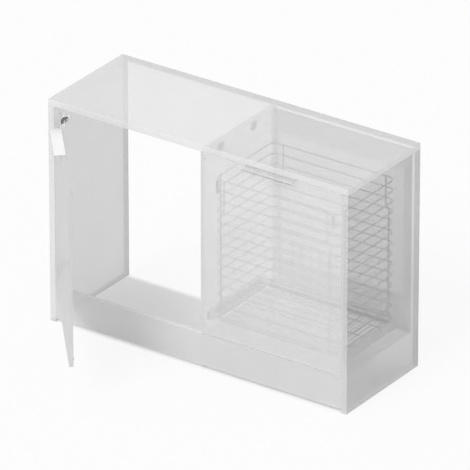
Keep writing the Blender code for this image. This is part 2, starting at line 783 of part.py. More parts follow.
def build_base_rail(name, wall_x, inward, end_y, pullout):
    """An angle on the inner runner whose ledge carries the basket, and its bracket on the front."""
    near = runner_thickness + seat_gap
    ledge_high = basket_foot - strut_wire / 2 - seat_gap
    ledge_low = ledge_high - rail_sheet
    section = [(near, ledge_low), (near + rail_ledge, ledge_low), (near + rail_ledge, ledge_high),
               (near + rail_sheet, ledge_high), (near + rail_sheet, ledge_low + rail_height),
               (near, ledge_low + rail_height)]
    outline = [(wall_x + inward * distance, z) for distance, z in section]
    start_y = front_back_y + foot_bracket_sheet + 2 * seat_gap
    prism(f"base_rail_{name}", outline, "Y", start_y, end_y, colour=steel, roughness=0.35,
          metallic=0.9, parent=pullout)
    side = near + rail_sheet + seat_gap
    bracket = [(side, front_back_y + seat_gap),
               (side + foot_bracket_width, front_back_y + seat_gap),
               (side + foot_bracket_width, front_back_y + seat_gap + foot_bracket_sheet),
               (side + foot_bracket_sheet, front_back_y + seat_gap + foot_bracket_sheet),
               (side + foot_bracket_sheet, front_back_y + seat_gap + foot_bracket_length),
               (side, front_back_y + seat_gap + foot_bracket_length)]
    outline = [(wall_x + inward * distance, y) for distance, y in bracket]
    low_z = ledge_high + seat_gap
    prism(f"foot_bracket_{name}", outline, "Z", low_z, low_z + foot_bracket_height,
          colour=dark_steel, roughness=0.35, metallic=0.9, parent=pullout)


def build_base_tie(end_y, pullout):
    """An angle across the back of the pull-out, between the two base rails' ledges."""
    reach = runner_thickness + seat_gap + rail_ledge + seat_gap
    high = basket_foot - strut_wire / 2 - seat_gap
    low = high - rail_sheet
    outline = [(end_y - tie_width, high), (end_y - tie_width, low), (end_y - rail_sheet, low),
               (end_y - rail_sheet, high - tie_drop), (end_y, high - tie_drop), (end_y, high)]
    prism("base_tie", outline, "X", divider_right + reach, basket_bay_right - reach,
          colour=dark_steel, roughness=0.35, metallic=0.9, parent=pullout)


def build_pullout_front(pullout):
    left = fronts_meet + front_meeting_gap / 2
    right = basket_bay_right - front_side_reveal
    front = block("drawer_front", (left, front_y, front_low), (right, front_back_y, front_high),
                  colour=white, rounding=board_round, alpha=0.75, parent=pullout)
    face = empty("drawer_face", (0.0, front_y, 0.0))
    face.parent = pullout
    spots = build_pull("drawer", (left + right) / 2, front_high, face)
    drill_pull_screws(front, "drawer", spots, front_high, face)
    build_stop_pads("drawer", left + front_overlap / 2, face)
    for name, side in (("left", -1), ("right", 1)):
        x = basket_middle + side * (basket_half_width - clip_inset)
        z = rim_height - clip_below_rim
        near = front_back_y + seat_gap
        half_plate = clip_plate_height / 2
        half_nose = clip_nose_height / 2
        reach = basket_front - ring_inset - seat_gap
        outline = [(near, z - half_plate), (near + clip_plate_sheet, z - half_plate),
                   (near + clip_plate_sheet, z - half_nose), (reach, z - half_nose),
                   (reach, z + half_nose), (near + clip_plate_sheet, z + half_nose),
                   (near + clip_plate_sheet, z + half_plate), (near, z + half_plate)]
        prism(f"basket_clip_{name}", outline, "X", x - clip_nose_width / 2, x + clip_nose_width / 2,
              colour=dark_steel, parent=pullout)


build_carcass()
build_back()
build_connectors()
build_hinge_arms()
build_hinge_links()
build_door()
pullout_origin = empty("pullout_origin", (0.0, 0.0, 0.0))
runner_middle_origin = empty("runner_middle_origin", (0.0, 0.0, 0.0))
build_runners(runner_middle_origin, pullout_origin)
build_pullout_front(pullout_origin)
build_basket(pullout_origin)
build_basket_floor(pullout_origin)
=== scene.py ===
"""Looks of the laundry cabinet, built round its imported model.

Metres, +Z up, +X to the right and +Y to the back as seen from the front.
The white boards are see-through, the door's pull and the hinges are bright
metal, and the laundry basket is dark grey wire on lighter steel runners.
"""

import json
import math

import bmesh
import bpy
from mathutils import Matrix, Vector


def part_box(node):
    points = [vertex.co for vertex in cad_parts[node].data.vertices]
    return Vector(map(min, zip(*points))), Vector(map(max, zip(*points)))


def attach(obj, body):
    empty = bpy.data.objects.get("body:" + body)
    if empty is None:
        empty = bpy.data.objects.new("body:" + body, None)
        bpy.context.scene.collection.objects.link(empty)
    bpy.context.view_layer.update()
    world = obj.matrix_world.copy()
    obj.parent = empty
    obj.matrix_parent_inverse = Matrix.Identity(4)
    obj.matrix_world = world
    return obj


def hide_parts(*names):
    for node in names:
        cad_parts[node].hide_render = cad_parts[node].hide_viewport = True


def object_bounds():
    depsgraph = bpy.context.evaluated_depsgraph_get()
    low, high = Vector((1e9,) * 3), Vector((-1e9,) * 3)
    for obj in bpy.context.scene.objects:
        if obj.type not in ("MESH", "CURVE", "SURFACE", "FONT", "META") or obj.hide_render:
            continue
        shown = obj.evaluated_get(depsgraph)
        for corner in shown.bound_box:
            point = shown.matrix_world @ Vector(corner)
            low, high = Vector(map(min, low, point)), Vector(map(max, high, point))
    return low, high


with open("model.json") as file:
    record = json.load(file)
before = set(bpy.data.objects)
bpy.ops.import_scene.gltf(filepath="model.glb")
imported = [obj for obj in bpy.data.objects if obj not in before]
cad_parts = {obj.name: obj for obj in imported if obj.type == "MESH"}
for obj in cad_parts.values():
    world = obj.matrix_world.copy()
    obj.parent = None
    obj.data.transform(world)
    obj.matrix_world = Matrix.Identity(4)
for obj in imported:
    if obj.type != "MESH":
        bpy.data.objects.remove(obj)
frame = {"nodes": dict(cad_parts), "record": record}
cad_low, cad_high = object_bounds()

# Fronts and the door's swing
door_rest_angle = math.radians(50.0)
door_hinge_line = Vector((-0.6465, -0.2325, 0.0))
front_board = 0.016
fronts_top = 0.872
seat_gap = 0.0003

# Edge pulls
pull_sheet = 0.0016
pull_bend = 0.0022
pull_corner = 0.0015
pull_length = 0.220
pull_reach = 0.029
pull_cover = 0.013
pull_lip = 0.009
door_pull_from_hinge = 0.287
pull_screw_inset = 0.030
pull_screw_head = 0.0030
pull_screw_rise = 0.0004

# Basket wires
ring_wire = 0.0040
strut_wire = 0.0050
grid_wire = 0.0030
weld_sink = 0.0004
wire_sides = 12
grid_sides = 8
corner_steps = 8
ring_corner = 0.025
ring_count = 14
rim_height = 0.770
lowest_ring = 0.2201
basket_foot = 0.2075
strut_inset_top = 0.045
strut_inset_low = 0.031
strut_jog_below_rim = 0.110
strut_jog_drop = 0.024
strut_jog_steps = 8
upright_count = 5
upright_pitch = 0.0394
upright_first = 0.0875
upright_ring_gaps = 4
floor_wire_count = 28
cross_wire_count = 3
side_strut_back = 0.041
strut_foot = basket_foot + strut_wire / 2 - weld_sink
strut_top = rim_height + ring_wire / 4

# Hinges
hinge_heights = {"upper": 0.800, "lower": 0.219}
cup_radius = 0.0175
cup_depth = 0.0115
cup_centre = 0.0215
cup_wall = 0.0010
flange_sheet = 0.0010
flange_half_width = 0.0185
flange_length = 0.056
flange_corner = 0.006
flange_corner_segments = 6
flange_screw_spacing = 0.045
cup_screw_head = 0.0030
cup_screw_rise = 0.0006
cup_block_low_x = -0.006
cup_block_high_x = 0.003
cup_block_off_floor = 0.001
cup_block_below_mouth = 0.004
cup_block_near = 0.006
cup_block_far = 0.012
arm_sheet = 0.0016
arm_bend = 0.0022
arm_corner = 0.0012
arm_screw_inset = 0.008
arm_screw_spacing = 0.019
arm_screw_head = 0.0036
arm_screw_rise = 0.0005
plate_wing_half = 0.009
plate_body_half = 0.009
plate_body_ahead = 0.006
plate_round = 0.0007
plate_screw_head = 0.0040
plate_screw_rise = 0.0018

# Screw heads, as shares of their radius and height
cross_arm = 0.56
cross_slot = 0.13
cross_depth = 0.7
screw_face = 0.82
screw_sides = 24
screw_profile = ((0.95, 0.85), (1.0, 0.5), (1.0, 0.0))

# How solids are cleaned, rounded and shaded
merge_distance = 0.00001
flat_angle = math.radians(0.5)
edge_angle = math.radians(35.0)
fold_angle = math.radians(20.0)
sheet_edge_angle = math.radians(60.0)
sheet_edge_round = 0.0003
sheet_corner_segments = 4
smooth_angle = math.radians(32.0)
board_smooth_angle = math.radians(10.0)
square_on = 0.9
upward = Vector((0.0, 0.0, 1.0))
sideways = Vector((1.0, 0.0, 0.0))
backwards = Vector((0.0, 1.0, 0.0))
through_door = Matrix.Rotation(-door_rest_angle, 3, "Z") @ backwards

# Surface patterns
noise_low = 0.3
noise_high = 0.7
board_cloud_scale = 7.0
board_cloud_dark = 0.97
board_gloss_scale = 35.0
board_roughness = (0.36, 0.46)
board_specular = 0.35
pebble_scale = 1400.0
pebble_detail = 2.0
pebble_height = 0.00004
pebble_strength = 0.35
fibre_scale = 60.0
fibre_detail = 5.0
fibre_stretch = (1.0, 1.0, 6.0)
fibre_height = 0.0001
fibre_strength = 0.3
hardboard_roughness = 0.7
grain_detail = 4.0
grain_strength = 0.25
moulded_cloud_scale = 40.0
moulded_gloss_scale = 120.0
moulded_relief_scale = 900.0
moulded_relief = 0.00005
moulded_strength = 0.4

# Studio
floor_size = 40.0
floor_tone = 0.90
shade_inset = 0.03
shade_margin = 0.01
glow_behind_boards = 0.12
glow_in_the_open = 0.86
surround_light = 0.70
backdrop_light = 1.0
lamp_power = 1.1
lamp_width = math.radians(25.0)
lamp_direction = (-0.06, -0.70, 0.70)
camera_place = (15.0375, -21.7325, 13.656)
camera_azimuth = math.radians(34.70)
camera_tilt = math.radians(90.0 - 26.56)
camera_sensor = 36.0
camera_lens = 624.5
camera_reach = 80.0


def node_material(name):
    """A material's shader, its node tree and the position on the piece that patterns follow."""
    material = bpy.data.materials.new(name)
    material.use_nodes = True
    tree = material.node_tree
    position = tree.nodes.new("ShaderNodeTexCoord").outputs["Object"]
    return material, tree, tree.nodes["Principled BSDF"], position


def speckle(tree, position, scale, detail=3.0, stretch=None):
    """Noise along a piece, from 0 to 1, drawn out where stretch says."""
    if stretch:
        mapping = tree.nodes.new("ShaderNodeMapping")
        mapping.inputs["Scale"].default_value = stretch
        tree.links.new(position, mapping.inputs["Vector"])
        position = mapping.outputs["Vector"]
    noise = tree.nodes.new("ShaderNodeTexNoise")
    noise.inputs["Scale"].default_value = scale
    noise.inputs["Detail"].default_value = detail
    tree.links.new(position, noise.inputs["Vector"])
    return noise.outputs["Fac"]


def remapped(tree, value, start, end, low, high, smooth=False):
    """A value between start and end turned into one between low and high."""
    node = tree.nodes.new("ShaderNodeMapRange")
    if smooth:
        node.interpolation_type = "SMOOTHSTEP"
    for name, number in (("From Min", start), ("From Max", end), ("To Min", low), ("To Max", high)):
        node.inputs[name].default_value = number
    tree.links.new(value, node.inputs["Value"])
    return node.outputs["Result"]


def arithmetic(tree, operation, first, second, clamped=False):
    """A math node on two values, each of them an output or a plain number."""
    node = tree.nodes.new("ShaderNodeMath")
    node.operation = operation
    node.use_clamp = clamped
    for socket, value in zip(node.inputs, (first, second)):
        if isinstance(value, float):
            socket.default_value = value
        else:
            tree.links.new(value, socket)
    return node.outputs["Value"]


def spread(tree, value, low, high):
    """The middle of a noise's range drawn out from low to high."""
    return remapped(tree, value, noise_low, noise_high, low, high)


def tinted(tree, value, dark, light):
    """A colour between dark and light."""
    mix = tree.nodes.new("ShaderNodeMix")
    mix.data_type = "RGBA"
    mix.inputs["A"].default_value = (*dark, 1.0)
    mix.inputs["B"].default_value = (*light, 1.0)
    tree.links.new(value, mix.inputs["Factor"])
    return mix.outputs["Result"]


def raised(tree, shader, value, height, strength):
    """A fine relief of that height on the surface."""
    bump = tree.nodes.new("ShaderNodeBump")
    bump.inputs["Distance"].default_value = height
    bump.inputs["Strength"].default_value = strength
    tree.links.new(value, bump.inputs["Height"])
    tree.links.new(bump.outputs["Normal"], shader.inputs["Normal"])


def coated_board(name, tone, cover):
    """White coated board with a faint pebble; cover is how solid one face of it looks."""
    material, tree, shader, position = node_material(name)
    cloud = spread(tree, speckle(tree, position, board_cloud_scale), 0.0, 1.0)
    light = (tone, tone, tone)
    dark = tuple(board_cloud_dark * part for part in light)
    tree.links.new(tinted(tree, cloud, dark, light), shader.inputs["Base Color"])
    pebble = speckle(tree, position, pebble_scale, detail=pebble_detail)
    gloss = spread(tree, speckle(tree, position, board_gloss_scale), *board_roughness)
    tree.links.new(gloss, shader.inputs["Roughness"])
    raised(tree, shader, pebble, pebble_height, pebble_strength)
    shader.inputs["Alpha"].default_value = cover
    shader.inputs["Specular IOR Level"].default_value = board_specular
    return material


def grey_sheet(name, dark, light, cover):
    """Thin hardboard with short fibres."""
    material, tree, shader, position = node_material(name)
    fibres = speckle(tree, position, fibre_scale, detail=fibre_detail, stretch=fibre_stretch)
    fibre_tone = spread(tree, fibres, 0.0, 1.0)
    tree.links.new(tinted(tree, fibre_tone, (dark, dark, dark), (light, light, light)),
                   shader.inputs["Base Color"])
    raised(tree, shader, fibres, fibre_height, fibre_strength)
    shader.inputs["Roughness"].default_value = hardboard_roughness
    shader.inputs["Alpha"].default_value = cover
    return material


def metal(name, dark, light, roughness, stretch, grain_scale, relief, metallic=1.0, cover=1.0):
    """A metal finish: its grain runs along the axis that stretch leaves long."""
    material, tree, shader, position = node_material(name)
    grain = speckle(tree, position, grain_scale, detail=grain_detail, stretch=stretch)
    colour = tinted(tree, spread(tree, grain, 0.0, 1.0), dark, light)
    tree.links.new(colour, shader.inputs["Base Color"])
    tree.links.new(spread(tree, grain, *roughness), shader.inputs["Roughness"])
    raised(tree, shader, grain, relief, grain_strength)
    shader.inputs["Metallic"].default_value = metallic
    shader.inputs["Alpha"].default_value = cover
    return material


def moulded(name, dark, light, roughness):
    """Moulded plastic or rubber with a fine matte texture."""
    material, tree, shader, position = node_material(name)
    cloud = spread(tree, speckle(tree, position, moulded_cloud_scale), 0.0, 1.0)
    tree.links.new(tinted(tree, cloud, dark, light), shader.inputs["Base Color"])
    raised(tree, shader, speckle(tree, position, moulded_relief_scale), moulded_relief,
           moulded_strength)
    gloss = spread(tree, speckle(tree, position, moulded_gloss_scale), *roughness)
    tree.links.new(gloss, shader.inputs["Roughness"])
    return material


# Boards: tone, and how solid one face looks
top_board = coated_board("top_board", 0.90, 0.40)
front_face_board = coated_board("front_face_board", 0.92, 0.48)
# The door, its edging and the sides are the white board painted darker: painted shade.
shaded_door_board = coated_board("shaded_door_board", 0.75, 0.66)
shaded_door_edging = coated_board("shaded_door_edging", 0.77, 0.66)
shaded_side_board = coated_board("shaded_side_board", 0.80, 0.34)
# The inner boards, the back rails and the front rail are the white board painted lighter: painted
# light where shade falls inside the cabinet.
lightened_inner_board = coated_board("lightened_inner_board", 0.93, 0.26)
lightened_low_back_board = coated_board("lightened_low_back_board", 0.97, 0.50)
lightened_upper_back_board = coated_board("lightened_upper_back_board", 0.97, 0.45)
lightened_rail_board = coated_board("lightened_rail_board", 0.97, 0.10)
# The plinth's face is the white board painted darker: painted shade.
shaded_plinth_board = coated_board("shaded_plinth_board", 0.84, 0.60)
top_edging = coated_board("top_edging", 0.91, 0.62)
front_edging = coated_board("front_edging", 0.86, 0.52)
# The rear edges are the white edging painted dark grey: painted shade on the edges turned from the
# lamp.
shaded_rear_edging = coated_board("shaded_rear_edging", 0.58, 0.70)
# The edging of the plinth, the drawer front and the low back rail is painted lighter and more
# solid: painted light where shade falls in the narrow gaps.
lightened_gap_edging = coated_board("lightened_gap_edging", 0.94, 0.85)
inner_edging = coated_board("inner_edging", 0.82, 0.38)
back_grey = grey_sheet("back_grey", 0.80, 0.86, 0.40)

# Grains of metal: their stretch along X, Y and Z, their scale and their relief
brushed = ((0.06, 1.0, 1.0), 900.0, 0.00002)
drawn = ((1.0, 0.2, 1.0), 400.0, 0.00002)
turned_grain = ((1.0, 0.05, 1.0), 1800.0, 0.00001)
plated = ((1.0, 1.0, 1.0), 260.0, 0.00001)
sprayed = ((1.0, 1.0, 1.0), 700.0, 0.00003)
dipped = ((1.0, 1.0, 1.0), 500.0, 0.00003)

# Metals and plastics: darkest and lightest colour, and the range of their roughness
satin_aluminium = metal("satin_aluminium", (0.90, 0.90, 0.91), (0.96, 0.96, 0.97), (0.28, 0.42),
                        *brushed)
# The lip finishes are the pulls' aluminium painted dark grey: painted shade under the pulls' front
# edge.
shaded_lip_aluminium = metal("shaded_lip_aluminium", (0.34, 0.34, 0.35), (0.42, 0.42, 0.43), (0.30, 0.44),
                      *brushed)
ghosted_aluminium = metal("ghosted_aluminium", (0.80, 0.80, 0.81), (0.86, 0.86, 0.87),
                          (0.40, 0.52), *brushed, cover=0.22)
shaded_ghosted_lip = metal("shaded_ghosted_lip", (0.34, 0.34, 0.35), (0.42, 0.42, 0.43), (0.40, 0.52),
                    *brushed, cover=0.16)
bright_nickel = metal("bright_nickel", (0.86, 0.86, 0.87), (0.94, 0.94, 0.95), (0.10, 0.20),
                      *plated)
# The hinge arm's nickel is painted near black: painted shade on the arm.
shaded_nickel = metal("shaded_nickel", (0.18, 0.18, 0.185), (0.25, 0.25, 0.255), (0.24, 0.34),
                    *turned_grain)
rail_zinc = metal("rail_zinc", (0.80, 0.80, 0.81), (0.86, 0.86, 0.87), (0.28, 0.42), *drawn)
dark_coat = metal("dark_coat", (0.045, 0.045, 0.05), (0.075, 0.075, 0.08), (0.34, 0.48),
                  *sprayed, metallic=0.4)
runner_steel = metal("runner_steel", (0.58, 0.58, 0.585), (0.66, 0.66, 0.665), (0.30, 0.42),
                     *drawn, metallic=0.5)
wire_coat = metal("wire_coat", (0.24, 0.24, 0.243), (0.29, 0.29, 0.293), (0.34, 0.46),
                  *dipped, metallic=0.3)
grey_plastic = moulded("grey_plastic", (0.58, 0.58, 0.585), (0.64, 0.64, 0.645), (0.45, 0.6))
clip_plastic = moulded("clip_plastic", (0.12, 0.12, 0.125), (0.16, 0.16, 0.165), (0.45, 0.6))
pad_rubber = moulded("pad_rubber", (0.42, 0.42, 0.42), (0.50, 0.50, 0.50), (0.6, 0.75))

# The body of each CAD node
node_bodies = {}
for body_name, body_nodes in frame["record"]["behaviour"]["bodies"].items():
    for body_node in body_nodes:
        node_bodies[body_node] = body_name


def mesh_from(name, bm):
    """The mesh of a finished shape."""
    mesh = bpy.data.meshes.new(name)
    bm.to_mesh(mesh)
    bm.free()
    return mesh


def placed(name, data):
    """An object in the scene, at the origin."""
    made = bpy.data.objects.new(name, data)
    bpy.context.scene.collection.objects.link(made)
    return made


def copy_of(node_name):
    """A merged copy of a CAD solid, to finish as a piece."""
    bm = bmesh.new()
    bm.from_mesh(frame["nodes"][node_name].data)
    bmesh.ops.remove_doubles(bm, verts=bm.verts, dist=merge_distance)
    bmesh.ops.dissolve_limit(bm, angle_limit=flat_angle, verts=bm.verts, edges=bm.edges)
    return bm


def make_board(node_name, face_finish, edge_finish, rear_finish, across):
    """A board with its edging: across is the direction through the board."""
    bm = copy_of(node_name)
    for face in bm.faces:
        if abs(face.normal.dot(across)) > square_on:
            face.material_index = 0
        else:
            face.material_index = 2 if face.normal.dot(backwards) > square_on else 1
    made = piece(f"{node_name}_finished", bm, face_finish, node_bodies[node_name],
                 (node_name,), smooth=board_smooth_angle)
    made.data.materials.append(edge_finish)
    made.data.materials.append(rear_finish)


def make_fitting(node_name, material, rounding):
    """A small fitting with its edges rounded."""
    bm = copy_of(node_name)
    rounded(bm, rounding, segments=2)
    piece(f"{node_name}_finished", bm, material, node_bodies[node_name],
          (node_name,))


def piece(name, bm, material, body, stands_for, smooth=smooth_angle):
    """A finished piece that rides on a body."""
    mesh = mesh_from(name, bm)
    mesh.materials.append(material)
    mesh.shade_smooth()
    mesh.set_sharp_from_angle(angle=smooth)
    made = placed(name, mesh)
    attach(made, body)
    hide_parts(*stands_for)
    return made


def join(bm, other):
    """Adds another shape, which is used up."""
    mesh = mesh_from("joined", other)
    bm.from_mesh(mesh)
    bpy.data.meshes.remove(mesh)


def bevelled(bm, parts, width, segments, affect="EDGES", clamped=False):
    """Rounds edges or corners to an even arc."""
    bmesh.ops.bevel(bm, geom=parts, offset=width, segments=segments, profile=0.5, affect=affect,
                    material=-1, clamp_overlap=clamped)


def add_box(bm, low, high):
    """A box between two corners."""
    low, high = Vector(low), Vector(high)
    place = Matrix.Translation((low + high) / 2) @ Matrix.Diagonal((*(high - low), 1.0))
    bmesh.ops.create_cube(bm, size=1.0, matrix=place)


def rounded(bm, width, segments, sharper=edge_angle):
    """Rounds every edge that is sharper than an angle."""
    edges = [edge for edge in bm.edges if edge.calc_face_angle(0.0) > sharper]
    bevelled(bm, edges, width, segments, clamped=True)


def facing(direction):
    """The turn that takes +Z to a direction."""
    return upward.rotation_difference(Vector(direction)).to_matrix().to_4x4()


def add_rod(bm, start, end, radius, sides=wire_sides):
    """A straight wire between two points, closed at its ends."""
    start, end = Vector(start), Vector(end)
    place = Matrix.Translation((start + end) / 2) @ facing(end - start)
    bmesh.ops.create_cone(bm, cap_ends=True, segments=sides, radius1=radius, radius2=radius,
                          depth=(end - start).length, matrix=place)


def open_ring(bm, centre, direction, radius):
    """The edges of a wire's round section, to extrude or spin from."""
    place = Matrix.Translation(centre) @ facing(direction)
    verts = bmesh.ops.create_circle(bm, cap_ends=False, segments=wire_sides, radius=radius,
                                    matrix=place)["verts"]
    return list({edge for vert in verts for edge in vert.link_edges})


def new_corners(made):
    """The corners among what was extruded."""
    return [item for item in made if isinstance(item, bmesh.types.BMVert)]


def far_edges(made):
    """The edges of what was extruded that run between its new corners only."""
    verts = set(new_corners(made))
    return [item for item in made
            if isinstance(item, bmesh.types.BMEdge) and all(vert in verts for vert in item.verts)]


def drawn_out(bm, edges, shift):
    """The section moved on along a straight."""
    made = bmesh.ops.extrude_edge_only(bm, edges=edges)["geom"]
    bmesh.ops.translate(bm, verts=new_corners(made), vec=shift)
    return far_edges(made)


def quarter_turn(bm, edges, centre):
    """The section spun a quarter turn about an upright axis, anticlockwise from above."""
    made = bmesh.ops.spin(bm, geom=edges, cent=centre, axis=upward, angle=math.pi / 2,
                          steps=corner_steps, use_merge=False, use_duplicate=False)
    return [item for item in made["geom_last"] if isinstance(item, bmesh.types.BMEdge)]


def add_loop(bm, low, high, z, corner, radius):
    """A closed wire loop round a rectangle, lying flat."""
    edges = open_ring(bm, (low[0] + corner, low[1], z), (1.0, 0.0, 0.0), radius)
    run_x = high[0] - low[0] - 2 * corner
    run_y = high[1] - low[1] - 2 * corner
    for shift, centre in (((run_x, 0.0, 0.0), (high[0] - corner, low[1] + corner, z)),
                          ((0.0, run_y, 0.0), (high[0] - corner, high[1] - corner, z)),
                          ((-run_x, 0.0, 0.0), (low[0] + corner, high[1] - corner, z)),
                          ((0.0, -run_y, 0.0), (low[0] + corner, low[1] + corner, z))):
        edges = drawn_out(bm, edges, shift)
        edges = quarter_turn(bm, edges, centre)


def weld_gap(first, second):
    """The distance between the middles of two wires that are welded where they cross."""
    return (first + second) / 2 - weld_sink


def tidy_wires(bm):
    """Closes the wires' loops and turns their faces outwards."""
    bmesh.ops.remove_doubles(bm, verts=bm.verts, dist=merge_distance)
    bmesh.ops.recalc_face_normals(bm, faces=bm.faces)


basket_floor_low, basket_floor_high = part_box("basket_floor")
loop_low = (basket_floor_low.x + strut_wire / 2, basket_floor_low.y + strut_wire / 2)
loop_high = (basket_floor_high.x - strut_wire / 2, basket_floor_high.y - strut_wire / 2)
basket_middle = (loop_low[0] + loop_high[0]) / 2


def add_jogged_strut(bm, side, y):
    """A strut down a wall, which steps outwards part of the way down."""
    half = (loop_high[0] - loop_low[0]) / 2 + ring_wire / 2
    top_x = basket_middle + side * (half - strut_inset_top)
    low_x = basket_middle + side * (half - strut_inset_low)
    jog_top = rim_height - strut_jog_below_rim
    edges = open_ring(bm, (top_x, y, strut_top), (0.0, 0.0, -1.0), strut_wire / 2)
    bmesh.ops.contextual_create(bm, geom=edges)
    edges = drawn_out(bm, edges, (0.0, 0.0, jog_top - strut_top))
    x = top_x
    for step in range(1, strut_jog_steps + 1):
        ease = (1.0 - math.cos(math.pi * step / strut_jog_steps)) / 2
        next_x = top_x + (low_x - top_x) * ease
        edges = drawn_out(bm, edges, (next_x - x, 0.0, -strut_jog_drop / strut_jog_steps))
        x = next_x
    edges = drawn_out(bm, edges, (0.0, 0.0, strut_foot - jog_top + strut_jog_drop))
    bmesh.ops.contextual_create(bm, geom=edges)


def make_basket_walls():
    """The basket's rings, struts and the short uprights in its back wall."""
    bm = bmesh.new()
    pitch = (rim_height - lowest_ring) / (ring_count - 1)
    heights = [rim_height - number * pitch for number in range(ring_count)]
    for z in heights:
        add_loop(bm, loop_low, loop_high, z, ring_corner, ring_wire / 2)
    strut_off = weld_gap(ring_wire, strut_wire)
    for side in (-1, 1):
        add_jogged_strut(bm, side, loop_high[1] + strut_off)
        add_jogged_strut(bm, side, loop_low[1] - strut_off)
    strut_y = loop_low[1] + side_strut_back
    for x, outward in ((loop_low[0], -1), (loop_high[0], 1)):
        strut_x = x + outward * strut_off
        add_rod(bm, (strut_x, strut_y, strut_foot), (strut_x, strut_y, strut_top), strut_wire / 2)
    upright_off = weld_gap(ring_wire, grid_wire)
    upright_top = heights[-1] + upright_ring_gaps * pitch
    for number in range(upright_count):
        x = loop_low[0] + upright_first + number * upright_pitch
        y = loop_high[1] + upright_off
        add_rod(bm, (x, y, strut_foot), (x, y, upright_top), grid_wire / 2, sides=grid_sides)
    tidy_wires(bm)
    piece("basket_walls", bm, wire_coat, "pullout",
          ("basket_back", "basket_front", "basket_side_left", "basket_side_right"))


def make_basket_floor():
    """The basket's foot loop with its cross wires and the floor wires on them."""
    bm = bmesh.new()
    add_loop(bm, loop_low, loop_high, basket_foot, ring_corner, strut_wire / 2)
    depth = loop_high[1] - loop_low[1]
    for number in range(1, cross_wire_count + 1):
        y = loop_low[1] + number * depth / (cross_wire_count + 1)
        add_rod(bm, (loop_low[0], y, basket_foot), (loop_high[0], y, basket_foot),
                strut_wire / 2)
    run_z = basket_foot + weld_gap(strut_wire, grid_wire)
    span = loop_high[0] - loop_low[0] - ring_corner
    for number in range(floor_wire_count):
        x = basket_middle - span / 2 + number * span / (floor_wire_count - 1)
        beyond = max(0.0, abs(x - basket_middle) - (loop_high[0] - ring_corner - basket_middle))
        inset = ring_corner - math.sqrt(ring_corner ** 2 - beyond ** 2)
        add_rod(bm, (x, loop_low[1] + inset, run_z), (x, loop_high[1] - inset, run_z),
                grid_wire / 2, sides=grid_sides)
    tidy_wires(bm)
    piece("basket_base", bm, wire_coat, "pullout", ("basket_floor",))


def bent_sheet(points, axis, low, high, thickness, bend, corner):
    """Sheet metal bent along a line of points, drawn out along an axis, with even thickness.

    The points lie on the sheet's middle and are (Y, Z) for axis X and (X, Z) for axis Y.
    """
    position = "XYZ".index(axis)
    bm = bmesh.new()
    row = []
    for first, second in points:
        spot = [first, second]
        spot.insert(position, low)
        row.append(bm.verts.new(spot))
    edges = [bm.edges.new(pair) for pair in zip(row, row[1:])]
    shift = [0.0, 0.0, 0.0]
    shift[position] = high - low
    made = bmesh.ops.extrude_edge_only(bm, edges=edges)["geom"]
    bmesh.ops.translate(bm, verts=new_corners(made), vec=shift)
    ends = [vert for vert in bm.verts if len(vert.link_edges) == 2]
    bevelled(bm, ends, corner, sheet_corner_segments, affect="VERTICES")
    folds = [edge for edge in bm.edges
             if len(edge.link_faces) == 2 and edge.calc_face_angle(0.0) > fold_angle]
    bevelled(bm, folds, bend, sheet_corner_segments)
    bmesh.ops.recalc_face_normals(bm, faces=bm.faces)
    thicken(bm, thickness)
    rounded(bm, sheet_edge_round, segments=2, sharper=sheet_edge_angle)
    return bm


def thicken(bm, thickness):
    """Gives a sheet its thickness, half to each side."""
    bm.normal_update()
    for vert in bm.verts:
        vert.co -= vert.normal * vert.calc_shell_factor() * thickness / 2
    bmesh.ops.solidify(bm, geom=bm.faces[:], thickness=-thickness)
    bmesh.ops.recalc_face_normals(bm, faces=bm.faces)


def add_screw(bm, seat, direction, radius, height):
    """A low round screw head with a cross recess, its top facing a direction."""
    head = bmesh.new()
    arm = cross_arm * radius
    slot = cross_slot * radius
    bmesh.ops.create_grid(head, x_segments=3, y_segments=3, size=1.0,
                          matrix=Matrix.Translation((0.0, 0.0, height)))
    for vert in head.verts:
        for number in (0, 1):
            outer = abs(vert.co[number]) > 0.5
            vert.co[number] = math.copysign(arm if outer else slot, vert.co[number])
    cross = [face for face in head.faces
             if min(abs(face.calc_center_median().x), abs(face.calc_center_median().y)) < slot / 2]
    square = [edge for edge in head.edges if edge.is_boundary]
    sunk = bmesh.ops.extrude_face_region(head, geom=cross)["geom"]
    bmesh.ops.translate(head, verts=new_corners(sunk), vec=(0.0, 0.0, -cross_depth * height))
    bmesh.ops.delete(head, geom=cross, context="FACES_ONLY")
    ring = bmesh.ops.create_circle(head, cap_ends=False, segments=screw_sides,
                                   radius=screw_face * radius,
                                   matrix=Matrix.Translation((0.0, 0.0, height)))["verts"]
    ring_edges = list({edge for vert in ring for edge in vert.link_edges})
    bmesh.ops.bridge_loops(head, edges=square + ring_edges)
    for wide, z in screw_profile:
        made = bmesh.ops.extrude_edge_only(head, edges=ring_edges)["geom"]
        verts = new_corners(made)
        now = max(vert.co.xy.length for vert in verts)
        for vert in verts:
            vert.co.x *= wide * radius / now
            vert.co.y *= wide * radius / now
            vert.co.z = z * height
        ring_edges = far_edges(made)
    bmesh.ops.contextual_create(head, geom=ring_edges)
    bmesh.ops.recalc_face_normals(head, faces=head.faces)
    bmesh.ops.transform(head, matrix=Matrix.Translation(seat) @ facing(direction),
                        verts=head.verts)
    join(bm, head)


def in_door(bm):
    """Takes what is modelled on the shut door, from its hinge line, to the open door."""
    bmesh.ops.transform(bm, matrix=Matrix.Translation(door_hinge_line)
                        @ Matrix.Rotation(-door_rest_angle, 4, "Z"), verts=bm.verts)


